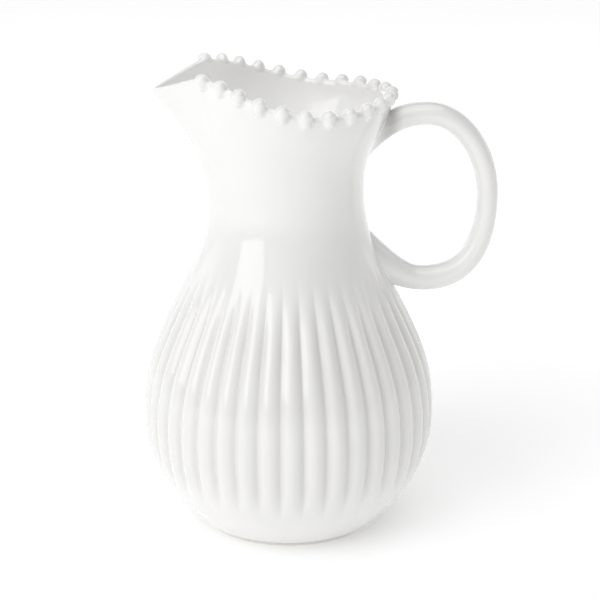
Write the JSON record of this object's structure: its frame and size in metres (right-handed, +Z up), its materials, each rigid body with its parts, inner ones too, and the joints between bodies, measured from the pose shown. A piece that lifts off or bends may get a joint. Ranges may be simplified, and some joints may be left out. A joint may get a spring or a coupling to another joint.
{
  "type": "ceramic pitcher",
  "caption": "White glazed ceramic pitcher with a fluted belly, narrow neck, drawn spout, beaded rim and a loop handle.",
  "frame": {"origin": "centre of the foot ring's resting plane, on the axis of the belly", "axes": "+Z up, -X towards the spout, +X towards the handle, Y across the mouth"},
  "size_m": [0.1712, 0.142, 0.228],
  "materials": {
    "glaze": "gloss",
    "bare_clay": "matt"
  },
  "bodies": {
    "root": {"body": "glaze", "handle": "glaze", "foot_ring": "bare_clay", "rim_bead_01": "glaze", "rim_bead_02": "glaze", "rim_bead_03": "glaze", "rim_bead_04": "glaze", "rim_bead_05": "glaze", "rim_bead_06": "glaze", "rim_bead_07": "glaze", "rim_bead_08": "glaze", "rim_bead_09": "glaze", "rim_bead_10": "glaze", "rim_bead_11": "glaze", "rim_bead_12": "glaze", "rim_bead_13": "glaze", "rim_bead_14": "glaze", "rim_bead_15": "glaze", "rim_bead_16": "glaze", "rim_bead_17": "glaze", "rim_bead_18": "glaze", "rim_bead_19": "glaze", "rim_bead_20": "glaze", "rim_bead_21": "glaze", "rim_bead_22": "glaze", "rim_bead_23": "glaze"}
  },
  "joints": []
}
